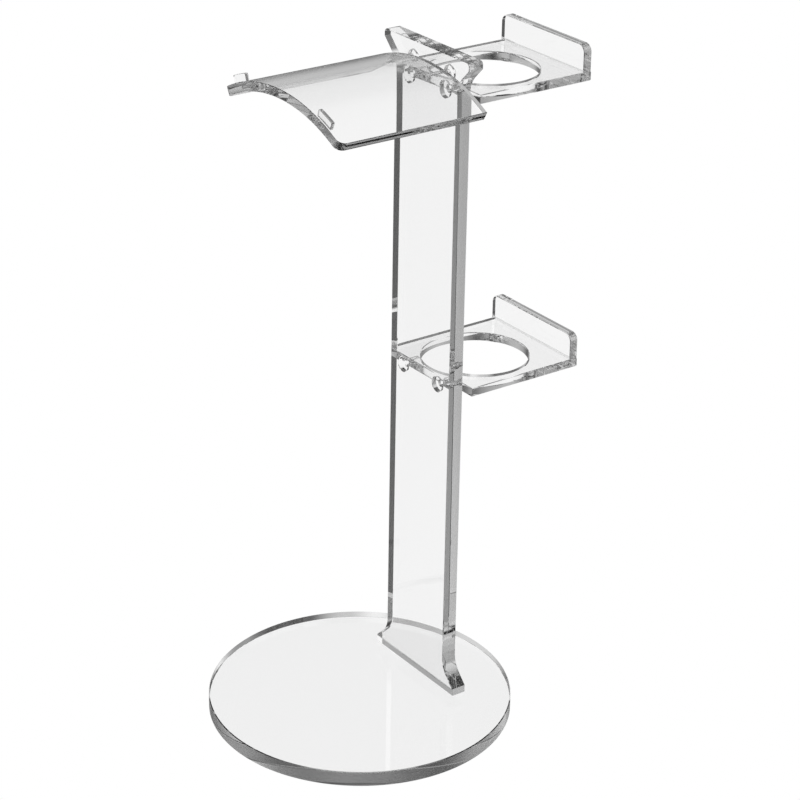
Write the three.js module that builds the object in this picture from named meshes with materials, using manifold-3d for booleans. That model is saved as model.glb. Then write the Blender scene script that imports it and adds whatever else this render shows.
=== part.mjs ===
// Clear acrylic counter stand for a hair dryer and its nozzles.
// Units are millimetres, +Z is up, and the origin is the centre of the base disc's underside.
// The saddle stands out of the post towards -Y, the trays towards +Y, and the stand is symmetric about X = 0.
import * as THREE from "three";
import { mergeVertices } from "three/addons/utils/BufferGeometryUtils.js";
import Module from "manifold-3d";

// ---- driving dimensions ----

const THICK_SHEET = 10; // base and post
const THIN_SHEET = 5.7; // saddle, trays and lips

const BASE_RADIUS = 95;
const BASE_EDGE_CHAMFER = 0.5;

const POST_FRONT_Y = 42; // face that carries the saddle
const POST_WIDTH = 60;
const POST_TOP_Z = 422.5;
const FLARE_HALF_WIDTH = 41; // half width of the foot and of the head
const FLARE_END_HEIGHT = 4.8; // upright edge at the tip of each flare
const FLARE_BLEND_RADIUS = 16; // curve from the flare's 45 degree slope into the post's edge
const HEAD_TIP_RADIUS = 2.5;

const SADDLE_RADIUS = 120.5; // outer, convex face
const SADDLE_CREST_Z = 414.2;
const SADDLE_HALF_ANGLE = 29; // degrees either side of the crest
const SADDLE_LENGTH = 99;
const SADDLE_CORNER_RADIUS = 5;

const STOP_INNER_ANGLE = 17.2; // degrees from the crest
const STOP_OUTER_ANGLE = 23.4;
const STOP_HEIGHT = 5.3;
const STOP_THICKNESS = 2.2;
const STOP_SETBACK = 0.8; // from the saddle's front edge
const STOP_TOP_RADIUS = 1;
const GLUE_LINE = 0.05; // under the stops, whose curved faces are faceted differently from the saddle's

const TRAY_WIDTH = 78;
const TRAY_LENGTH = 80.4;
const TRAY_TOPS_Z = { upper: 401.9, lower: 219.7 };
const TRAY_HOLE_RADIUS = 31;
const TRAY_HOLE_SETBACK = 34.4; // hole centre from the post's back face
const LIP_HEIGHT = 16.2; // above the tray's top face
const LIP_CORNER_RADIUS = 5;

const SCREW_OFFSET_X = 17.5; // each pair stands this far either side of the middle
const SCREW_HEAD_RADIUS = 2.1;
const SCREW_HEAD_HEIGHT = 1.8;
const SCREW_SHANK_RADIUS = 1.25;
const SCREW_SLOT_WIDTH = 0.7;
const SCREW_SLOT_DEPTH = 0.7;
const SCREW_TIP_CHAMFER = 0.4;
const SCREW_CLEARANCE = 0.3; // between a shank or a head and the wall round it
const SCREW_SEAT_DEPTH = 7.2; // the step that a head bears on, from the face that its hole opens to
const RECESS_RADIUS = 4.8; // round the mouth of each screw's hole
const RECESS_DEPTH = 2.9;
const TRAY_THREAD_DEPTH = 6.5; // how far a screw reaches into a tray's edge
const SADDLE_THREAD_DEPTH = 11; // how far a screw reaches into the saddle's edge
const BORE_END_ROOM = 0.5; // past a screw's tip

const BASE_SEGMENTS = 128;
const HOLE_SEGMENTS = 72;
const SADDLE_SEGMENTS = 40;
const SCREW_SEGMENTS = 28;
const CORNER_SEGMENTS = 6;

// ---- derived places ----

const BASE_TOP_Z = THICK_SHEET;
const POST_BACK_Y = POST_FRONT_Y + THICK_SHEET;
const POST_HALF_WIDTH = POST_WIDTH / 2;
const SADDLE_FRONT_Y = POST_FRONT_Y - SADDLE_LENGTH;
const SADDLE_AXIS_Z = SADDLE_CREST_Z - SADDLE_RADIUS;
const SADDLE_MID_RADIUS = SADDLE_RADIUS - THIN_SHEET / 2;
const SADDLE_SCREW_Z = SADDLE_AXIS_Z + Math.sqrt(SADDLE_MID_RADIUS ** 2 - SCREW_OFFSET_X ** 2);
const HEAD_HOLE_RADIUS = SCREW_HEAD_RADIUS + SCREW_CLEARANCE;
const SHANK_HOLE_RADIUS = SCREW_SHANK_RADIUS + SCREW_CLEARANCE;
const SHANK_IN_POST = THICK_SHEET - SCREW_SEAT_DEPTH;
const CUT_MARGIN = 1; // how far a cutter runs past the face that it starts from

// +1 and -1 sides, with +X on the right of someone who faces the saddle
const SIDES = { left: -1, right: 1 };

// ---- clear acrylic, one material for each piece ----

const ACRYLIC_COLOUR = 0xeef1f2;
const SCREW_COLOUR = 0xe2e6e8;

const stand = new THREE.Group();
const wasm = await Module();
wasm.setup();

function addPiece(name, geometry, colour = ACRYLIC_COLOUR) {
  const material = new THREE.MeshStandardMaterial({
    color: colour,
    roughness: 0.06,
    metalness: 0,
    transparent: true,
    opacity: 0.35,
  });
  const mesh = new THREE.Mesh(geometry, material);
  mesh.name = name;
  stand.add(mesh);
  return mesh;
}

// ---- helpers ----

const radians = THREE.MathUtils.degToRad;

function toManifold(geometry) {
  const bare = new THREE.BufferGeometry();
  bare.setAttribute("position", geometry.getAttribute("position"));
  bare.setIndex(geometry.getIndex());
  const merged = mergeVertices(bare, 1e-4);
  return new wasm.Manifold(
    new wasm.Mesh({
      numProp: 3,
      vertProperties: new Float32Array(merged.getAttribute("position").array),
      triVerts: new Uint32Array(merged.getIndex().array),
    }),
  );
}

function toGeometry(manifold) {
  const mesh = manifold.getMesh();
  const geometry = new THREE.BufferGeometry();
  geometry.setAttribute("position", new THREE.BufferAttribute(mesh.vertProperties, 3));
  geometry.setIndex(new THREE.BufferAttribute(mesh.triVerts, 1));
  geometry.computeVertexNormals();
  return geometry;
}

function cutFrom(geometry, cutters) {
  let body = toManifold(geometry);
  for (const cutter of cutters) {
    body = body.subtract(toManifold(cutter));
  }
  return toGeometry(body);
}

// A plate whose outline is drawn in X and Z, lying from yLow to yHigh.
function plateAcrossY(shape, yLow, yHigh, curveSegments = CORNER_SEGMENTS) {
  const geometry = new THREE.ExtrudeGeometry(shape, {
    depth: yHigh - yLow,
    bevelEnabled: false,
    curveSegments,
  });
  geometry.rotateX(Math.PI / 2);
  geometry.translate(0, yHigh, 0);
  return geometry;
}

// A plate whose outline is drawn in X and Y, lying from zLow to zHigh.
function plateAcrossZ(shape, zLow, zHigh, curveSegments = CORNER_SEGMENTS) {
  const geometry = new THREE.ExtrudeGeometry(shape, {
    depth: zHigh - zLow,
    bevelEnabled: false,
    curveSegments,
  });
  geometry.translate(0, 0, zLow);
  return geometry;
}

// A round cutter along Y.
function boreAlongY(radius, x, z, yLow, yHigh) {
  const geometry = new THREE.CylinderGeometry(radius, radius, yHigh - yLow, SCREW_SEGMENTS);
  geometry.translate(x, (yLow + yHigh) / 2, z);
  return geometry;
}

// A stretch of pipe wall about the saddle's axis, between two radii and two angles from the crest.
function archSection(innerRadius, outerRadius, fromAngle, toAngle, cornerRadius = 0) {
  const start = Math.PI / 2 - radians(toAngle);
  const end = Math.PI / 2 - radians(fromAngle);
  const inset = cornerRadius / outerRadius;
  const at = (radius, angle) => [
    radius * Math.cos(angle),
    SADDLE_AXIS_Z + radius * Math.sin(angle),
  ];
  const shape = new THREE.Shape();
  shape.moveTo(...at(innerRadius, start));
  if (cornerRadius > 0) {
    shape.lineTo(...at(outerRadius - cornerRadius, start));
    shape.quadraticCurveTo(...at(outerRadius, start), ...at(outerRadius, start + inset));
  } else {
    shape.lineTo(...at(outerRadius, start));
  }
  shape.absarc(0, SADDLE_AXIS_Z, outerRadius, start + inset, end - inset, false);
  if (cornerRadius > 0) {
    shape.quadraticCurveTo(...at(outerRadius, end), ...at(outerRadius - cornerRadius, end));
  }
  shape.lineTo(...at(innerRadius, end));
  shape.absarc(0, SADDLE_AXIS_Z, innerRadius, end, start, true);
  return shape;
}

// ---- base ----

function baseDisc() {
  const profile = [
    [0, 0],
    [BASE_RADIUS - BASE_EDGE_CHAMFER, 0],
    [BASE_RADIUS, BASE_EDGE_CHAMFER],
    [BASE_RADIUS, BASE_TOP_Z - BASE_EDGE_CHAMFER],
    [BASE_RADIUS - BASE_EDGE_CHAMFER, BASE_TOP_Z],
    [0, BASE_TOP_Z],
  ].map(([radius, height]) => new THREE.Vector2(radius, height));
  const geometry = new THREE.LatheGeometry(profile, BASE_SEGMENTS);
  geometry.rotateX(Math.PI / 2);
  return geometry;
}

// ---- post ----

// One side of one flare, from its tip to the post's straight edge, drawn for a flare that stands on z = 0.
function flareBlend() {
  const slope = Math.PI / 4;
  const centreX = POST_HALF_WIDTH + FLARE_BLEND_RADIUS;
  const cornerZ = FLARE_END_HEIGHT + FLARE_HALF_WIDTH - POST_HALF_WIDTH;
  const centreZ = cornerZ + FLARE_BLEND_RADIUS * Math.tan(slope / 2);
  return { slope, centreX, centreZ };
}

function postOutline() {
  const { slope, centreX, centreZ } = flareBlend();
  const footCentreZ = BASE_TOP_Z + centreZ;
  const headCentreZ = POST_TOP_Z - centreZ;
  const tip = FLARE_HALF_WIDTH;
  const tipTopRound = HEAD_TIP_RADIUS;
  const shape = new THREE.Shape();
  shape.moveTo(-tip, BASE_TOP_Z);
  shape.lineTo(tip, BASE_TOP_Z);
  shape.lineTo(tip, BASE_TOP_Z + FLARE_END_HEIGHT);
  shape.absarc(centreX, footCentreZ, FLARE_BLEND_RADIUS, Math.PI + slope, Math.PI, true);
  shape.absarc(centreX, headCentreZ, FLARE_BLEND_RADIUS, Math.PI, Math.PI - slope, true);
  shape.lineTo(tip, POST_TOP_Z - FLARE_END_HEIGHT);
  shape.lineTo(tip, POST_TOP_Z - tipTopRound);
  shape.absarc(tip - tipTopRound, POST_TOP_Z - tipTopRound, tipTopRound, 0, Math.PI / 2, false);
  shape.absarc(tipTopRound - tip, POST_TOP_Z - tipTopRound, tipTopRound, Math.PI / 2, Math.PI, false);
  shape.lineTo(-tip, POST_TOP_Z - FLARE_END_HEIGHT);
  shape.absarc(-centreX, headCentreZ, FLARE_BLEND_RADIUS, slope, 0, true);
  shape.absarc(-centreX, footCentreZ, FLARE_BLEND_RADIUS, 0, -slope, true);
  shape.lineTo(-tip, BASE_TOP_Z + FLARE_END_HEIGHT);
  shape.closePath();
  return shape;
}

// A hole through the post in three steps, which opens to the front or the back: a wide shallow recess,
// then the bore that the head goes down, then the shank's hole.
function steppedHole(x, z, headAtFront) {
  const step = (radius, depth) =>
    headAtFront
      ? boreAlongY(radius, x, z, POST_FRONT_Y - CUT_MARGIN, POST_FRONT_Y + depth)
      : boreAlongY(radius, x, z, POST_BACK_Y - depth, POST_BACK_Y + CUT_MARGIN);
  return [
    step(RECESS_RADIUS, RECESS_DEPTH),
    step(HEAD_HOLE_RADIUS, SCREW_SEAT_DEPTH),
    step(SHANK_HOLE_RADIUS, THICK_SHEET + CUT_MARGIN),
  ];
}

const trayScrewZ = (topZ) => topZ - THIN_SHEET / 2;

function uprightPost() {
  const plate = plateAcrossY(postOutline(), POST_FRONT_Y, POST_BACK_Y, CORNER_SEGMENTS * 2);
  const cutters = [];
  for (const side of Object.values(SIDES)) {
    const x = side * SCREW_OFFSET_X;
    for (const topZ of Object.values(TRAY_TOPS_Z)) {
      cutters.push(...steppedHole(x, trayScrewZ(topZ), true));
    }
    cutters.push(...steppedHole(x, SADDLE_SCREW_Z, false));
  }
  return cutFrom(plate, cutters);
}

// ---- saddle ----

// Keeps what lies inside the saddle's plan outline, which has rounded front corners.
function saddlePlan() {
  const half = SADDLE_RADIUS * Math.sin(radians(SADDLE_HALF_ANGLE));
  const r = SADDLE_CORNER_RADIUS;
  const shape = new THREE.Shape();
  shape.moveTo(half + CUT_MARGIN, POST_FRONT_Y + CUT_MARGIN);
  shape.lineTo(-half - CUT_MARGIN, POST_FRONT_Y + CUT_MARGIN);
  shape.lineTo(-half - CUT_MARGIN, SADDLE_FRONT_Y + r);
  shape.lineTo(-half, SADDLE_FRONT_Y + r);
  shape.absarc(r - half, SADDLE_FRONT_Y + r, r, Math.PI, 1.5 * Math.PI, false);
  shape.absarc(half - r, SADDLE_FRONT_Y + r, r, 1.5 * Math.PI, 2 * Math.PI, false);
  shape.lineTo(half + CUT_MARGIN, SADDLE_FRONT_Y + r);
  shape.closePath();
  return plateAcrossZ(shape, SADDLE_AXIS_Z, POST_TOP_Z);
}

function saddleRest() {
  const arch = plateAcrossY(
    archSection(SADDLE_RADIUS - THIN_SHEET, SADDLE_RADIUS, -SADDLE_HALF_ANGLE, SADDLE_HALF_ANGLE),
    SADDLE_FRONT_Y,
    POST_FRONT_Y,
    SADDLE_SEGMENTS,
  );
  let body = toManifold(arch).intersect(toManifold(saddlePlan()));
  for (const side of Object.values(SIDES)) {
    const bore = boreAlongY(
      SHANK_HOLE_RADIUS,
      side * SCREW_OFFSET_X,
      SADDLE_SCREW_Z,
      POST_FRONT_Y - SADDLE_THREAD_DEPTH - BORE_END_ROOM,
      POST_FRONT_Y + CUT_MARGIN,
    );
    body = body.subtract(toManifold(bore));
  }
  return toGeometry(body);
}

function saddleStop(side) {
  const foot = SADDLE_RADIUS + GLUE_LINE;
  const angles = [side * STOP_INNER_ANGLE, side * STOP_OUTER_ANGLE].sort((a, b) => a - b);
  const shape = archSection(foot, SADDLE_RADIUS + STOP_HEIGHT, ...angles, STOP_TOP_RADIUS);
  const frontY = SADDLE_FRONT_Y + STOP_SETBACK;
  return plateAcrossY(shape, frontY, frontY + STOP_THICKNESS);
}

// ---- trays ----

function trayPlate(topZ) {
  const shape = new THREE.Shape();
  shape.moveTo(-TRAY_WIDTH / 2, POST_BACK_Y);
  shape.lineTo(TRAY_WIDTH / 2, POST_BACK_Y);
  shape.lineTo(TRAY_WIDTH / 2, POST_BACK_Y + TRAY_LENGTH);
  shape.lineTo(-TRAY_WIDTH / 2, POST_BACK_Y + TRAY_LENGTH);
  shape.closePath();
  const hole = new THREE.Path();
  hole.absarc(0, POST_BACK_Y + TRAY_HOLE_SETBACK, TRAY_HOLE_RADIUS, 0, 2 * Math.PI, true);
  shape.holes.push(hole);
  const plate = plateAcrossZ(shape, topZ - THIN_SHEET, topZ, HOLE_SEGMENTS);
  const bores = Object.values(SIDES).map((side) =>
    boreAlongY(
      SHANK_HOLE_RADIUS,
      side * SCREW_OFFSET_X,
      trayScrewZ(topZ),
      POST_BACK_Y - CUT_MARGIN,
      POST_BACK_Y + TRAY_THREAD_DEPTH + BORE_END_ROOM,
    ),
  );
  return cutFrom(plate, bores);
}

function trayLip(topZ) {
  const half = TRAY_WIDTH / 2;
  const lipTop = topZ + LIP_HEIGHT;
  const r = LIP_CORNER_RADIUS;
  const shape = new THREE.Shape();
  shape.moveTo(-half, topZ);
  shape.lineTo(half, topZ);
  shape.lineTo(half, lipTop - r);
  shape.absarc(half - r, lipTop - r, r, 0, Math.PI / 2, false);
  shape.absarc(r - half, lipTop - r, r, Math.PI / 2, Math.PI, false);
  shape.closePath();
  const outerY = POST_BACK_Y + TRAY_LENGTH;
  return plateAcrossY(shape, outerY - THIN_SHEET, outerY);
}

// ---- screws ----

// A cheese-head screw: its head's seat is at y = 0, the head lies at +Y and the shank runs along -Y.
function cheeseHeadScrew(threadDepth) {
  const reach = SHANK_IN_POST + threadDepth;
  const profile = [
    [0, -reach],
    [SCREW_SHANK_RADIUS - SCREW_TIP_CHAMFER, -reach],
    [SCREW_SHANK_RADIUS, SCREW_TIP_CHAMFER - reach],
    [SCREW_SHANK_RADIUS, 0],
    [SCREW_HEAD_RADIUS, 0],
    [SCREW_HEAD_RADIUS, SCREW_HEAD_HEIGHT - SCREW_TIP_CHAMFER],
    [SCREW_HEAD_RADIUS - SCREW_TIP_CHAMFER, SCREW_HEAD_HEIGHT],
    [0, SCREW_HEAD_HEIGHT],
  ].map(([radius, height]) => new THREE.Vector2(radius, height));
  const body = new THREE.LatheGeometry(profile, SCREW_SEGMENTS);
  const slot = new THREE.BoxGeometry(
    2 * HEAD_HOLE_RADIUS,
    SCREW_SLOT_DEPTH + CUT_MARGIN,
    SCREW_SLOT_WIDTH,
  );
  slot.translate(0, SCREW_HEAD_HEIGHT + (CUT_MARGIN - SCREW_SLOT_DEPTH) / 2, 0);
  return cutFrom(body, [slot]);
}

function addScrewPair(name, z, threadDepth, headAtFront) {
  for (const [sideName, side] of Object.entries(SIDES)) {
    const screw = addPiece(`${name}_${sideName}`, cheeseHeadScrew(threadDepth), SCREW_COLOUR);
    const seatY = headAtFront
      ? POST_FRONT_Y + SCREW_SEAT_DEPTH
      : POST_BACK_Y - SCREW_SEAT_DEPTH;
    screw.rotation.z = headAtFront ? Math.PI : 0;
    screw.position.set(side * SCREW_OFFSET_X, seatY, z);
  }
}

// ---- assembly ----

addPiece("base_disc", baseDisc());
addPiece("upright_post", uprightPost());
addPiece("saddle_rest", saddleRest());
for (const [sideName, side] of Object.entries(SIDES)) {
  addPiece(`saddle_stop_${sideName}`, saddleStop(side));
}
for (const [levelName, topZ] of Object.entries(TRAY_TOPS_Z)) {
  addPiece(`${levelName}_tray_plate`, trayPlate(topZ));
  addPiece(`${levelName}_tray_lip`, trayLip(topZ));
  addScrewPair(`${levelName}_tray_screw`, trayScrewZ(topZ), TRAY_THREAD_DEPTH, true);
}
addScrewPair("saddle_screw", SADDLE_SCREW_Z, SADDLE_THREAD_DEPTH, false);

export default stand;
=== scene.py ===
"""Clear acrylic counter stand for a hair dryer and its nozzles: the looks, round the CAD frame.

Metres, +Z up. The saddle stands out of the post towards -Y, and the trays stand out towards +Y.
"""

import math
import bmesh
import bpy
from mathutils import Matrix, Vector


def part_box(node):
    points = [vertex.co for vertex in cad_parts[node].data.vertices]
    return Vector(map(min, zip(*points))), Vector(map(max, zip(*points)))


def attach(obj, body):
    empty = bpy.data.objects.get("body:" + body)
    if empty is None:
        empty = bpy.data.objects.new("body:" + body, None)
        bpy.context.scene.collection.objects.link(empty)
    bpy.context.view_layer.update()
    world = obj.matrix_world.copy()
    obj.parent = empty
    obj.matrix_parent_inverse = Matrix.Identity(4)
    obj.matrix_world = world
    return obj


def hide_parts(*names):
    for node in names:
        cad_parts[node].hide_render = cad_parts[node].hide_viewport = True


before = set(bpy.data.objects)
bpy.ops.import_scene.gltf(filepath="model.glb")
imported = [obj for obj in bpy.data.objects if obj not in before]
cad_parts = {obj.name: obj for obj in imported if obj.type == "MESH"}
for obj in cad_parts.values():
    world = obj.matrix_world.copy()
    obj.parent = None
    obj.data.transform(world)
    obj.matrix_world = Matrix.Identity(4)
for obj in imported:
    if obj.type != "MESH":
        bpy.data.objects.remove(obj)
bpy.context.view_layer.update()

MM = 0.001
SIDES = {"left": -1, "right": 1}
LEVELS = ("upper", "lower")

# ---- sizes that a node's box doesn't hold ----

EDGE_CHAMFER = 0.45 * MM  # the polished arris on the flat sheets
BASE_CHAMFER = 0.5 * MM
FOOT_GAP = 0.04 * MM  # two faces that only touch keep this much air between them
BOND_DEPTH = 0.05 * MM  # a cemented joint has no air in it, so its faces reach into each other

POST_HALF_WIDTH = 30 * MM
FLARE_END_HEIGHT = 4.8 * MM
FLARE_SLOPE = 45  # degrees from upright
FLARE_BLEND_RADIUS = 16 * MM
STRAIGHT_GUARD = 1 * MM  # a short facet that keeps a blend's smooth shading off the long straight edge
HEAD_TIP_RADIUS = 2.5 * MM

SADDLE_RADIUS = 120.5 * MM
SADDLE_HALF_ANGLE = 29
SADDLE_CORNER_RADIUS = 5 * MM
SADDLE_CHAMFER = 0.25 * MM
STOP_TOP_RADIUS = 1 * MM
STOP_CHAMFER = 0.2 * MM

TRAY_HOLE_RADIUS = 31 * MM
TRAY_HOLE_SETBACK = 34.4 * MM
LIP_CORNER_RADIUS = 5 * MM

SCREW_HEAD_RADIUS = 2.1 * MM
SCREW_HEAD_HEIGHT = 1.8 * MM
SCREW_CREST_RADIUS = 1.25 * MM
SCREW_ROOT_RADIUS = 1 * MM
SCREW_PITCH = 0.6 * MM
SCREW_SLOT_WIDTH = 0.7 * MM
SCREW_SLOT_DEPTH = 0.7 * MM
SCREW_CHAMFER = 0.3 * MM
SCREW_SEAT_CHAMFER = EDGE_CHAMFER / 2
SLOT_CUTTER_CHAMFER = 0.05 * MM
SLOT_CUTTER_OVERSHOOT = 1 * MM
THREAD_ROOT = 0.06  # how much of a turn the flat root takes on each side of its middle
THREAD_SLOPE = 2.5  # how fast the flank rises, in thread depths per turn
SCREW_CLEARANCE = 0.3 * MM
SCREW_SEAT_DEPTH = 7.2 * MM
RECESS_RADIUS = 4.8 * MM
RECESS_DEPTH = 2.9 * MM
BORE_CHAMFER = 0.25 * MM
BORE_END_ROOM = 0.5 * MM

BASE_STEPS = 360
HOLE_STEPS = 192
SADDLE_STEPS = 320
BORE_STEPS = 64
CORNER_STEPS = 16
BLEND_STEPS = 48
STOP_STEPS = 24
THREAD_STEPS = 12  # along each turn of the thread

# ---- places, from the frame ----

BASE_LOW, BASE_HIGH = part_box("base_disc")
POST_LOW, POST_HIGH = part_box("upright_post")
SADDLE_LOW, SADDLE_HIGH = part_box("saddle_rest")
SADDLE_AXIS_Z = SADDLE_HIGH.z - SADDLE_RADIUS
TRAY_LOW, TRAY_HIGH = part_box("upper_tray_plate")
THIN_SHEET = TRAY_HIGH.z - TRAY_LOW.z
BORE_RADIUS = SCREW_CREST_RADIUS + SCREW_CLEARANCE
HEAD_BORE_RADIUS = SCREW_HEAD_RADIUS + SCREW_CLEARANCE

# ---- camera ----

CAMERA_AZIMUTH = 54.083  # degrees, from straight in front of the saddle towards +X
CAMERA_ELEVATION = 25.367
CAMERA_ROLL = 0.909
CAMERA_TARGET = Vector((0.01498, 0.01687, 0.21202))
CAMERA_DISTANCE = 1.46589
CAMERA_LENS = 110.93
SENSOR_WIDTH = 36


def make_camera():
    """Looks down at the front and the right-hand side."""
    azimuth = math.radians(CAMERA_AZIMUTH)
    elevation = math.radians(CAMERA_ELEVATION)
    roll = math.radians(CAMERA_ROLL)
    out = Vector((math.sin(azimuth), -math.cos(azimuth), 0))
    back = out * math.cos(elevation) + Vector((0, 0, math.sin(elevation)))
    level = Vector((math.cos(azimuth), math.sin(azimuth), 0))
    upright = back.cross(level)
    right = level * math.cos(roll) + upright * math.sin(roll)
    up = upright * math.cos(roll) - level * math.sin(roll)
    data = bpy.data.cameras.new("camera")
    data.sensor_width = SENSOR_WIDTH
    data.lens = CAMERA_LENS
    camera = bpy.data.objects.new("camera", data)
    camera.matrix_world = Matrix((right, up, back)).transposed().to_4x4()
    camera.matrix_world.translation = CAMERA_TARGET + back * CAMERA_DISTANCE
    bpy.context.scene.collection.objects.link(camera)
    bpy.context.scene.camera = camera


# ---- nodes ----

WHITE = (1, 1, 1, 1)
BLACK = (0, 0, 0, 1)


class Nodes:
    """Adds nodes to a tree and links them, one short call each."""

    def __init__(self, tree):
        self.tree = tree
        tree.nodes.clear()

    def add(self, kind, inputs=None, **settings):
        node = self.tree.nodes.new(kind)
        for key, value in settings.items():
            setattr(node, key, value)
        for key, value in (inputs or {}).items():
            if isinstance(value, bpy.types.NodeSocket):
                self.tree.links.new(value, node.inputs[key])
            else:
                node.inputs[key].default_value = value
        return node

    def math(self, operation, first, second=0.0):
        node = self.add("ShaderNodeMath", {0: first, 1: second}, operation=operation)
        return node.outputs[0]

    def noise(self, place, scale, detail):
        inputs = {"Vector": place, "Scale": scale, "Detail": detail}
        return self.add("ShaderNodeTexNoise", inputs).outputs[0]

    def ramp(self, value, low, high, to_low, to_high):
        """A smooth step from one value to the other, between two limits."""
        inputs = {0: value, 1: low, 2: high, 3: to_low, 4: to_high}
        node = self.add("ShaderNodeMapRange", inputs, interpolation_type="SMOOTHSTEP")
        return node.outputs[0]


# ---- studio ----

# Soft light panels and dark flags round the stand, which only its reflections show. Each has its
# azimuth from +X, its elevation, its brightness, and how far from its middle it fades out, with the
# angles in degrees. The values were found by a fit, then adjusted by trial and rounded.
STUDIO_LEVEL = 0.06
PANELS = (
    (-76, 28, 1.3, 44),
    (144, 0, 1.12, 40),
    (-134, -20, 1.06, 52),
    (28, 28, 1.0, 38),
    (116, -60, 1.08, 56),
    (-148, 40, 0.8, 40),
    (-176, -32, 0.76, 60),
    (-32, -32, 0.6, 32),
    (116, 28, 0.42, 52),
    (-64, -38, 0.4, 32),
    (144, -26, -0.38, 32),
    (-150, 0, -0.6, 44),
    (136, 0, -0.94, 44),
    (-164, -48, -0.8, 68),
    (82, -52, -1.06, 26),
)


def toward(azimuth, elevation):
    around = math.radians(azimuth)
    rise = math.radians(elevation)
    level = math.cos(rise)
    return Vector((level * math.cos(around), level * math.sin(around), math.sin(rise)))


def panel_light(nodes, direction, azimuth, elevation, brightness, spread):
    middle = toward(azimuth, elevation)
    dot = nodes.add("ShaderNodeVectorMath", {0: direction, 1: middle}, operation="DOT_PRODUCT")
    return nodes.ramp(dot.outputs["Value"], math.cos(math.radians(spread)), 1.0, 0.0, brightness)


def reflected_ray(nodes):
    """1 on a ray that has been reflected, 0 on one that comes straight through the clear sheets."""
    path = nodes.add("ShaderNodeLightPath")
    return nodes.math("GREATER_THAN", path.outputs["Glossy Depth"], 0.5)


def make_studio():
    """White to a ray that comes straight from the camera, and the panels to one that has been reflected."""
    scene = bpy.context.scene
    scene.view_settings.view_transform = "Standard"
    scene.cycles.max_bounces = 48
    scene.cycles.glossy_bounces = 40
    scene.cycles.transmission_bounces = 40
    scene.cycles.transparent_max_bounces = 16
    scene.cycles.blur_glossy = 0
    world = bpy.data.worlds.new("studio")
    scene.world = world
    world.use_nodes = True
    world.cycles.sampling_method = "NONE"
    nodes = Nodes(world.node_tree)
    direction = nodes.add("ShaderNodeTexCoord").outputs["Generated"]
    level = STUDIO_LEVEL
    for panel in PANELS:
        level = nodes.math("ADD", level, panel_light(nodes, direction, *panel))
    brightness = nodes.math("MAXIMUM", level, 0.0)
    room = nodes.add("ShaderNodeBackground", {"Color": WHITE, "Strength": brightness})
    sweep = nodes.add("ShaderNodeBackground", {"Color": WHITE, "Strength": 1.0})
    mix = nodes.add("ShaderNodeMixShader", {0: reflected_ray(nodes)})
    nodes.tree.links.new(sweep.outputs[0], mix.inputs[1])
    nodes.tree.links.new(room.outputs[0], mix.inputs[2])
    nodes.add("ShaderNodeOutputWorld", {"Surface": mix.outputs[0]})


FLOOR_SIZE = 12
FLOOR_DROP = 0.2 * MM  # keeps the floor clear of the base's underside


def make_floor():
    """White as the studio is, and open to the reflected rays."""
    half = FLOOR_SIZE / 2
    z = BASE_LOW.z - FLOOR_DROP
    corners = [(-half, -half, z), (half, -half, z), (half, half, z), (-half, half, z)]
    mesh = bpy.data.meshes.new("floor")
    mesh.from_pydata(corners, [], [(0, 1, 2, 3)])
    floor = bpy.data.objects.new("floor", mesh)
    bpy.context.scene.collection.objects.link(floor)
    material = bpy.data.materials.new("floor")
    material.use_nodes = True
    material.cycles.emission_sampling = "NONE"
    nodes = Nodes(material.node_tree)
    lit = nodes.add("ShaderNodeEmission", {"Color": WHITE, "Strength": 1.0})
    clear = nodes.add("ShaderNodeBsdfTransparent")
    mix = nodes.add("ShaderNodeMixShader", {0: reflected_ray(nodes)})
    nodes.tree.links.new(lit.outputs[0], mix.inputs[1])
    nodes.tree.links.new(clear.outputs[0], mix.inputs[2])
    nodes.add("ShaderNodeOutputMaterial", {"Surface": mix.outputs[0]})
    mesh.materials.append(material)


# ---- clear acrylic ----

ACRYLIC_IOR = 1.42
ACRYLIC_DENSITY = 3.5  # how fast the body darkens what's seen through it, per metre
PALE_TINT = (0.988, 0.988, 0.988, 1)
DEEP_TINT = (0.981, 0.981, 0.982, 1)
CLOUD_SCALE = 30  # noise cells per metre: the cast sheet's own slow changes
WEAR_SCALE = 220  # wiping marks
POLISH_SCALE = 1400  # the cut edges' fine sparkle
RIPPLE_SCALE = 900
FACE_ROUGHNESS = 0.008
FACE_WEAR_FROM, FACE_WEAR_TO = 0.50, 0.80  # noise values between which the wiping marks grow
EDGE_ROUGHNESS = 0.010
EDGE_POLISH_FROM, EDGE_POLISH_TO = 0.35, 0.80
SWELL_HEIGHT = 12e-6
RIPPLE_HEIGHT = 0.3e-6
ACROSS = 0.08  # the edge's ripple is drawn out this much across the sheet's thickness
EDGE_BELOW, FACE_ABOVE = 0.80, 0.95  # how squarely a face looks along the sheet's own normal


def edge_share(nodes, normal, sheet_normal):
    """1 on the cut edges and 0 on the faces, for a sheet with this normal."""
    dot = nodes.add("ShaderNodeVectorMath", {0: normal, 1: sheet_normal}, operation="DOT_PRODUCT")
    facing = nodes.math("ABSOLUTE", dot.outputs["Value"])
    return nodes.ramp(facing, EDGE_BELOW, FACE_ABOVE, 1.0, 0.0)


def edges_of_flat(axis):
    """The mask of a flat sheet that lies across this axis."""

    def mask(nodes, place, normal):
        return edge_share(nodes, normal, axis)

    return mask


def edges_of_bent(nodes, place, normal):
    """The mask of the saddle, whose faces are round an axis along Y."""
    arm = nodes.add("ShaderNodeVectorMath", {0: place, 1: (0, 0, SADDLE_AXIS_Z)}, operation="SUBTRACT")
    flat = nodes.add("ShaderNodeVectorMath", {0: arm.outputs[0], 1: (1, 0, 1)}, operation="MULTIPLY")
    radial = nodes.add("ShaderNodeVectorMath", {0: flat.outputs[0]}, operation="NORMALIZE")
    return edge_share(nodes, normal, radial.outputs[0])


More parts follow.
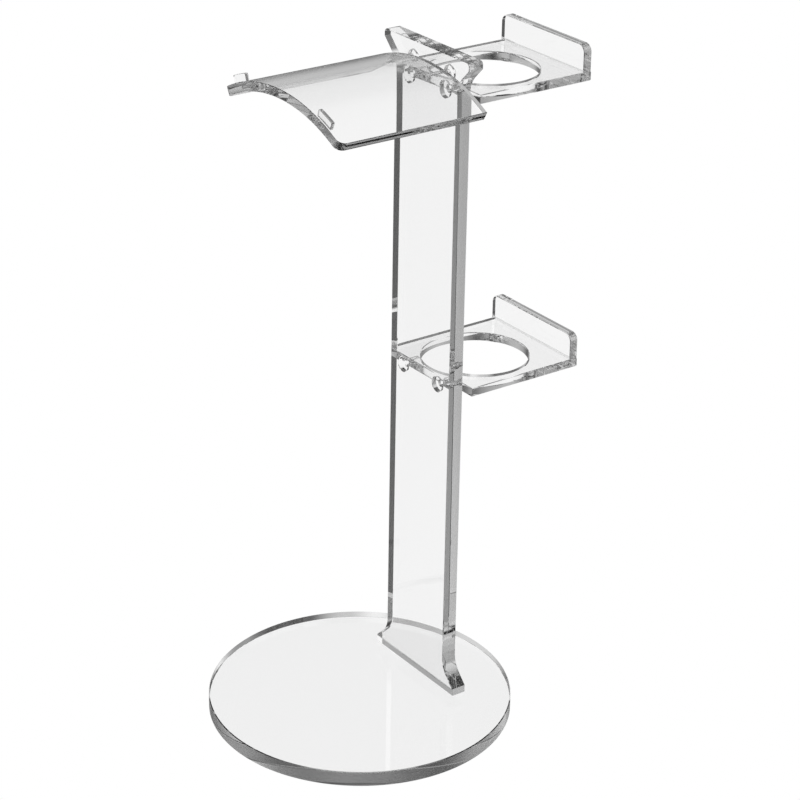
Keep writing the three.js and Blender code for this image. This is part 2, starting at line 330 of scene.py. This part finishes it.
def acrylic(name, edge_mask, grain):
    """Cast acrylic: glassy faces with a faint swell, and cut edges with the fine ripple of polishing."""
    material = bpy.data.materials.new(name)
    material.use_nodes = True
    nodes = Nodes(material.node_tree)
    coordinates = nodes.add("ShaderNodeTexCoord")
    place = coordinates.outputs["Object"]
    edge = edge_mask(nodes, place, coordinates.outputs["Normal"])
    cloud = nodes.noise(place, CLOUD_SCALE, detail=2)
    tint = nodes.add("ShaderNodeMix", {"Factor": cloud}, data_type="RGBA")
    tint.inputs["A"].default_value = PALE_TINT
    tint.inputs["B"].default_value = DEEP_TINT
    wear = nodes.noise(place, WEAR_SCALE, detail=3)
    wiped = nodes.ramp(wear, FACE_WEAR_FROM, FACE_WEAR_TO, 0.0, FACE_ROUGHNESS)
    stretched = nodes.add("ShaderNodeVectorMath", {0: place, 1: grain}, operation="MULTIPLY").outputs[0]
    polish = nodes.noise(stretched, POLISH_SCALE, detail=2)
    marks = nodes.ramp(polish, EDGE_POLISH_FROM, EDGE_POLISH_TO, 0.0, EDGE_ROUGHNESS)
    polished = nodes.math("MULTIPLY", edge, marks)
    ripple = nodes.math("MULTIPLY", edge, nodes.noise(stretched, RIPPLE_SCALE, detail=1))
    raised = nodes.math("MULTIPLY", ripple, RIPPLE_HEIGHT)
    height = nodes.math("ADD", raised, nodes.math("MULTIPLY", cloud, SWELL_HEIGHT))
    bump = nodes.add("ShaderNodeBump", {"Height": height, "Distance": 1.0, "Strength": 1.0})
    shader = nodes.add("ShaderNodeBsdfPrincipled", {"Normal": bump.outputs[0]})
    nodes.tree.links.new(tint.outputs["Result"], shader.inputs["Base Color"])
    nodes.tree.links.new(nodes.math("ADD", wiped, polished), shader.inputs["Roughness"])
    shader.inputs["Transmission Weight"].default_value = 1.0
    shader.inputs["IOR"].default_value = ACRYLIC_IOR
    inputs = {"Color": BLACK, "Density": ACRYLIC_DENSITY}
    volume = nodes.add("ShaderNodeVolumeAbsorption", inputs)
    nodes.add("ShaderNodeOutputMaterial", {"Surface": shader.outputs[0], "Volume": volume.outputs[0]})
    return material


def make_materials():
    """One finish for each way that a sheet lies, and one for the turned screws."""
    return {
        "upright": acrylic("acrylic_upright", edges_of_flat((0, 1, 0)), (1, ACROSS, 1)),
        "level": acrylic("acrylic_level", edges_of_flat((0, 0, 1)), (1, 1, ACROSS)),
        "bent": acrylic("acrylic_bent", edges_of_bent, (1, 1, ACROSS)),
        "turned": acrylic("acrylic_turned", edges_of_flat((0, 1, 0)), (1, ACROSS, 1)),
    }


# ---- mesh building ----


def across_y(u, v, depth):
    return (u, depth, v)


def across_z(u, v, depth):
    return (u, v, depth)


def arc(centre, radius, start, end, steps):
    """Points on an arc from one angle to another, in degrees, both ends included."""
    angles = [math.radians(start + (end - start) * i / steps) for i in range(steps + 1)]
    return [(centre[0] + radius * math.cos(a), centre[1] + radius * math.sin(a)) for a in angles]


def circle(centre, radius, steps):
    return arc(centre, radius, 0, 360, steps)[:-1]


def inset(points, distance):
    """The closed outline moved to its left, which is inwards when it runs anticlockwise."""
    moved = []
    for before, here, after in zip(points[-1:] + points[:-1], points, points[1:] + points[:1]):
        normals = []
        for start, end in ((before, here), (here, after)):
            along = Vector((end[0] - start[0], end[1] - start[1])).normalized()
            normals.append(Vector((-along.y, along.x)))
        both = normals[0] + normals[1]
        shift = both * (distance / (1 + normals[0].dot(normals[1])))
        moved.append((here[0] + shift.x, here[1] + shift.y))
    return moved


def add_ring(bm, points, place, depth):
    return [bm.verts.new(place(u, v, depth)) for u, v in points]


def add_walls(bm, rings):
    for first, second in zip(rings, rings[1:]):
        count = len(first)
        for i in range(count):
            j = (i + 1) % count
            bm.faces.new((first[i], first[j], second[j], second[i]))


def add_solid(bm, rings):
    """The walls from ring to ring, and a face on each end."""
    add_walls(bm, rings)
    bm.faces.new(rings[0])
    bm.faces.new(rings[-1])


def sheet(outline, place, low, high, chamfer=EDGE_CHAMFER):
    """A flat sheet with a chamfered edge, between two depths."""
    bm = bmesh.new()
    inner = inset(outline, chamfer)
    rings = [
        add_ring(bm, inner, place, low),
        add_ring(bm, outline, place, low + chamfer),
        add_ring(bm, outline, place, high - chamfer),
        add_ring(bm, inner, place, high),
    ]
    add_solid(bm, rings)
    return bm


def turned(profile, steps, place):
    """A solid turned about the depth axis, from (radius, depth) points with both ends off the axis."""
    bm = bmesh.new()
    rings = [add_ring(bm, circle((0, 0), radius, steps), place, depth) for radius, depth in profile]
    add_solid(bm, rings)
    return bm


def as_object(name, bm):
    bmesh.ops.recalc_face_normals(bm, faces=bm.faces)
    if bm.calc_volume(signed=True) < 0:
        bmesh.ops.reverse_faces(bm, faces=bm.faces)
    mesh = bpy.data.meshes.new(name)
    bm.to_mesh(mesh)
    bm.free()
    made = bpy.data.objects.new(name, mesh)
    bpy.context.scene.collection.objects.link(made)
    return made


def cut(piece, cutters):
    """Takes the cutters out of the piece, and removes them."""
    for cutter in cutters:
        modifier = piece.modifiers.new("cut", "BOOLEAN")
        modifier.operation = "DIFFERENCE"
        modifier.solver = "MANIFOLD"
        modifier.object = cutter
    evaluated = piece.evaluated_get(bpy.context.evaluated_depsgraph_get())
    mesh = bpy.data.meshes.new_from_object(evaluated)
    piece.modifiers.clear()
    piece.data = mesh
    for cutter in cutters:
        bpy.data.objects.remove(cutter)


SMOOTH_BELOW = 20  # degrees between two facets of one smooth surface


def finish_piece(piece, node, look):
    """Smooths the round surfaces, gives the material, and puts the piece in the CAD node's place."""
    piece.data.shade_smooth()
    piece.data.set_sharp_from_angle(angle=math.radians(SMOOTH_BELOW))
    piece.data.materials.clear()
    piece.data.materials.append(MATERIALS[look])
    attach(piece, "root")
    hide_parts(node)


# ---- base ----


def make_base():
    outline = circle((0, 0), BASE_HIGH.x, BASE_STEPS)
    base = as_object("base", sheet(outline, across_z, BASE_LOW.z, BASE_HIGH.z, BASE_CHAMFER))
    finish_piece(base, "base_disc", "level")


# ---- post ----


def post_side():
    """The post's right-hand edge from the foot up, in X and Z: foot, straight run, head."""
    slope_height = (POST_HIGH.x - POST_HALF_WIDTH) / math.tan(math.radians(FLARE_SLOPE))
    corner_z = FLARE_END_HEIGHT + slope_height
    centre_x = POST_HALF_WIDTH + FLARE_BLEND_RADIUS
    centre_z = corner_z + FLARE_BLEND_RADIUS * math.tan(math.radians(FLARE_SLOPE / 2))
    tip_centre = (POST_HIGH.x - HEAD_TIP_RADIUS, POST_HIGH.z - HEAD_TIP_RADIUS)
    foot_z = POST_LOW.z + FOOT_GAP
    foot_centre = (centre_x, POST_LOW.z + centre_z)
    head_centre = (centre_x, POST_HIGH.z - centre_z)
    foot_blend = arc(foot_centre, FLARE_BLEND_RADIUS, 180 + FLARE_SLOPE, 180, BLEND_STEPS)
    head_blend = arc(head_centre, FLARE_BLEND_RADIUS, 180, 180 - FLARE_SLOPE, BLEND_STEPS)
    return [
        (POST_HIGH.x, foot_z),
        (POST_HIGH.x, POST_LOW.z + FLARE_END_HEIGHT),
        *foot_blend,
        (POST_HALF_WIDTH, POST_LOW.z + centre_z + STRAIGHT_GUARD),
        (POST_HALF_WIDTH, POST_HIGH.z - centre_z - STRAIGHT_GUARD),
        *head_blend,
        (POST_HIGH.x, POST_HIGH.z - FLARE_END_HEIGHT),
        *arc(tip_centre, HEAD_TIP_RADIUS, 0, 90, CORNER_STEPS),
    ]


def drill(x, z, profile):
    """A cutter turned about an axis along Y."""

    def place(u, v, depth):
        return (x + u, depth, z + v)

    return as_object("cutter", turned(profile, BORE_STEPS, place))


def bore_cutter(x, z, mouth_y, end_y):
    """A drilled hole along Y that starts at a face, with its mouth's arris taken off."""
    inward = 1 if end_y > mouth_y else -1
    profile = [
        (BORE_RADIUS + 2 * BORE_CHAMFER, mouth_y - inward * BORE_CHAMFER),
        (BORE_RADIUS, mouth_y + inward * BORE_CHAMFER),
        (BORE_RADIUS, end_y),
    ]
    return drill(x, z, profile)


def stepped_cutter(x, z, mouth_y, far_y):
    """A hole right through the post: a shallow recess, then the bores for the screw's head and shank."""
    inward = 1 if far_y > mouth_y else -1
    recess_y = mouth_y + inward * RECESS_DEPTH
    seat_y = mouth_y + inward * SCREW_SEAT_DEPTH
    profile = [
        (RECESS_RADIUS + 2 * BORE_CHAMFER, mouth_y - inward * BORE_CHAMFER),
        (RECESS_RADIUS, mouth_y + inward * BORE_CHAMFER),
        (RECESS_RADIUS, recess_y),
        (HEAD_BORE_RADIUS, recess_y),
        (HEAD_BORE_RADIUS, seat_y),
        (BORE_RADIUS, seat_y),
        (BORE_RADIUS, far_y - inward * BORE_CHAMFER),
        (BORE_RADIUS + 2 * BORE_CHAMFER, far_y + inward * BORE_CHAMFER),
    ]
    return drill(x, z, profile)


def screw_place(node):
    low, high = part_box(node)
    return (low.x + high.x) / 2, (low.z + high.z) / 2


def make_post():
    right = post_side()
    left = [(-x, z) for x, z in reversed(right)]
    post = as_object("post", sheet(right + left, across_y, POST_LOW.y, POST_HIGH.y))
    cutters = []
    for side in SIDES:
        for level in LEVELS:
            x, z = screw_place(f"{level}_tray_screw_{side}")
            cutters.append(stepped_cutter(x, z, POST_LOW.y, POST_HIGH.y))
        x, z = screw_place(f"saddle_screw_{side}")
        cutters.append(stepped_cutter(x, z, POST_HIGH.y, POST_LOW.y))
    cut(post, cutters)
    finish_piece(post, "upright_post", "upright")


# ---- saddle ----


def bent(u, v, depth):
    """The saddle's sheet: u runs round the outer face, v along Y, and depth is the radius."""
    angle = u / SADDLE_RADIUS
    return (depth * math.sin(angle), v, SADDLE_AXIS_Z + depth * math.cos(angle))


def saddle_columns():
    """Where the sheet's front edge is, at each step round it: (u, v)."""
    half = SADDLE_RADIUS * math.radians(SADDLE_HALF_ANGLE)
    radius = SADDLE_CORNER_RADIUS
    front = SADDLE_LOW.y
    corner = arc((half - radius, front + radius), radius, 270, 360, CORNER_STEPS)
    straight = half - radius
    middle = [(straight * (2 * i / SADDLE_STEPS - 1), front) for i in range(1, SADDLE_STEPS)]
    return [(-u, v) for u, v in reversed(corner)] + middle + corner


def make_saddle():
    front = saddle_columns()
    back_y = SADDLE_HIGH.y + BOND_DEPTH
    outline = front + [(u, back_y) for u, v in reversed(front)]
    inner = inset(outline, SADDLE_CHAMFER)
    inner_radius = SADDLE_RADIUS - THIN_SHEET
    bm = bmesh.new()
    rings = [
        add_ring(bm, inner, bent, inner_radius),
        add_ring(bm, outline, bent, inner_radius + SADDLE_CHAMFER),
        add_ring(bm, outline, bent, SADDLE_RADIUS - SADDLE_CHAMFER),
        add_ring(bm, inner, bent, SADDLE_RADIUS),
    ]
    add_walls(bm, rings)
    count = len(outline)
    for ring in (rings[0], rings[-1]):
        for i in range(len(front) - 1):
            bm.faces.new((ring[i], ring[i + 1], ring[count - 2 - i], ring[count - 1 - i]))
    saddle = as_object("saddle", bm)
    cutters = []
    for side in SIDES:
        node = f"saddle_screw_{side}"
        x, z = screw_place(node)
        cutters.append(bore_cutter(x, z, back_y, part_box(node)[0].y - BORE_END_ROOM))
    cut(saddle, cutters)
    finish_piece(saddle, "saddle_rest", "bent")


def on_saddle(angle, radius):
    """A point in X and Z, at an angle from straight up, in degrees."""
    turn = math.radians(angle)
    return (radius * math.sin(turn), SADDLE_AXIS_Z + radius * math.cos(turn))


def span(first, last):
    """Evenly spaced angles from the first to the last."""
    return [first + (last - first) * i / STOP_STEPS for i in range(STOP_STEPS + 1)]


def make_stop(side):
    """A low curved rib on the saddle, with its two upper corners rounded off."""
    node = f"saddle_stop_{side}"
    low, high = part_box(node)
    near, far = sorted((abs(low.x), abs(high.x)))
    foot = SADDLE_RADIUS - BOND_DEPTH
    start = math.degrees(math.asin(near / SADDLE_RADIUS))
    top = math.hypot(near, high.z - SADDLE_AXIS_Z)
    end = math.degrees(math.asin(far / top))
    round_angle = math.degrees(STOP_TOP_RADIUS / top)
    first = on_saddle(start + round_angle, top - STOP_TOP_RADIUS)
    last = on_saddle(end - round_angle, top - STOP_TOP_RADIUS)
    outline = [on_saddle(angle, foot) for angle in span(end, start)]
    outline += reversed(arc(first, STOP_TOP_RADIUS, 90 - start, 180 - start, CORNER_STEPS))
    outline += [on_saddle(angle, top) for angle in span(start + round_angle, end - round_angle)[1:-1]]
    outline += reversed(arc(last, STOP_TOP_RADIUS, -end, 90 - end, CORNER_STEPS))
    outline = [(SIDES[side] * x, z) for x, z in outline]
    if SIDES[side] > 0:
        outline.reverse()
    stop = as_object(f"saddle_rib_{side}", sheet(outline, across_y, low.y, high.y, STOP_CHAMFER))
    finish_piece(stop, node, "upright")


# ---- trays ----


def tray_hole_cutter(low, high):
    """The tray's large round hole, with the arris taken off both its rims."""
    centre_y = low.y + TRAY_HOLE_SETBACK
    rim_radius = TRAY_HOLE_RADIUS + 2 * EDGE_CHAMFER
    profile = [
        (rim_radius, low.z - EDGE_CHAMFER),
        (TRAY_HOLE_RADIUS, low.z + EDGE_CHAMFER),
        (TRAY_HOLE_RADIUS, high.z - EDGE_CHAMFER),
        (rim_radius, high.z + EDGE_CHAMFER),
    ]

    def place(u, v, depth):
        return (u, centre_y + v, depth)

    return as_object("cutter", turned(profile, HOLE_STEPS, place))


def make_tray(level):
    node = f"{level}_tray_plate"
    low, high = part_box(node)
    back_y = low.y + FOOT_GAP
    outline = [(high.x, back_y), (high.x, high.y), (low.x, high.y), (low.x, back_y)]
    plate = as_object(f"{level}_tray", sheet(outline, across_z, low.z, high.z))
    cutters = [tray_hole_cutter(low, high)]
    for side in SIDES:
        screw = f"{level}_tray_screw_{side}"
        x, z = screw_place(screw)
        cutters.append(bore_cutter(x, z, back_y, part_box(screw)[1].y + BORE_END_ROOM))
    cut(plate, cutters)
    finish_piece(plate, node, "level")


def make_lip(level):
    node = f"{level}_tray_lip"
    low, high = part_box(node)
    radius = LIP_CORNER_RADIUS
    outline = [
        (low.x, low.z - BOND_DEPTH),
        (high.x, low.z - BOND_DEPTH),
        *arc((high.x - radius, high.z - radius), radius, 0, 90, CORNER_STEPS),
        *arc((low.x + radius, high.z - radius), radius, 90, 180, CORNER_STEPS),
    ]
    lip = as_object(f"{level}_lip", sheet(outline, across_y, low.y, high.y))
    finish_piece(lip, node, "upright")


# ---- screws ----


def thread_radius(turn):
    """The shank's radius over one turn of the thread, from 0 to 1: flat root, flank, flat crest, flank."""
    from_root = 0.5 - abs(turn - 0.5)
    rise = min(1.0, max(0.0, THREAD_SLOPE * (from_root - THREAD_ROOT)))
    return SCREW_ROOT_RADIUS + (SCREW_CREST_RADIUS - SCREW_ROOT_RADIUS) * rise


def thread_ring(depth, fade):
    """The shank's outline at one depth. The thread runs out where fade is below 1."""
    points = []
    for i in range(BORE_STEPS):
        angle = 2 * math.pi * i / BORE_STEPS
        turn = (depth / SCREW_PITCH - i / BORE_STEPS) % 1
        radius = SCREW_ROOT_RADIUS + (thread_radius(turn) - SCREW_ROOT_RADIUS) * fade
        points.append((radius * math.cos(angle), radius * math.sin(angle)))
    return points


def screw_outlines(length):
    """The screw from its head's face to its tip: each cross-section with its depth."""
    seat = SCREW_HEAD_HEIGHT - FOOT_GAP
    head = [
        (SCREW_HEAD_RADIUS - SCREW_CHAMFER, 0),
        (SCREW_HEAD_RADIUS, SCREW_CHAMFER),
        (SCREW_HEAD_RADIUS, seat - SCREW_SEAT_CHAMFER),
        (SCREW_HEAD_RADIUS - SCREW_SEAT_CHAMFER, seat),
        (SCREW_ROOT_RADIUS, seat),
    ]
    outlines = [(circle((0, 0), radius, BORE_STEPS), depth) for radius, depth in head]
    depth = seat + SCREW_PITCH / 2
    end = length - SCREW_CHAMFER
    while depth < end:
        fade = min(1.0, (depth - seat) / SCREW_PITCH, (end - depth) / SCREW_PITCH)
        outlines.append((thread_ring(depth, fade), depth))
        depth += SCREW_PITCH / THREAD_STEPS
    outlines.append((circle((0, 0), SCREW_ROOT_RADIUS - SCREW_CHAMFER, BORE_STEPS), length))
    return outlines


def slot_cutter(place):
    half = SCREW_SLOT_WIDTH / 2
    reach = HEAD_BORE_RADIUS
    outline = [(-reach, -half), (reach, -half), (reach, half), (-reach, half)]
    slot = sheet(outline, place, -SLOT_CUTTER_OVERSHOOT, SCREW_SLOT_DEPTH, SLOT_CUTTER_CHAMFER)
    return as_object("cutter", slot)


def make_screw(node):
    """A slotted screw sunk in one face of the post, which reaches through the other into a sheet's edge."""
    low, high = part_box(node)
    x, z = screw_place(node)
    into_tray = high.y > POST_HIGH.y
    mouth_y, tip_y = (POST_LOW.y, high.y) if into_tray else (POST_HIGH.y, low.y)
    inward = 1 if tip_y > mouth_y else -1
    head_y = mouth_y + inward * (SCREW_SEAT_DEPTH - SCREW_HEAD_HEIGHT)

    def place(u, v, depth):
        return (x + u, head_y + inward * depth, z + v)

    bm = bmesh.new()
    outlines = screw_outlines(abs(tip_y - head_y))
    rings = [add_ring(bm, points, place, depth) for points, depth in outlines]
    add_solid(bm, rings)
    screw = as_object(node.replace("_screw", "_bolt"), bm)
    cut(screw, [slot_cutter(place)])
    finish_piece(screw, node, "turned")


# ---- the whole stand ----

make_camera()
make_studio()
make_floor()
MATERIALS = make_materials()
make_base()
make_post()
make_saddle()
for side in SIDES:
    make_stop(side)
for level in LEVELS:
    make_tray(level)
    make_lip(level)
for node in sorted(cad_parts):
    if "screw" in node:
        make_screw(node)
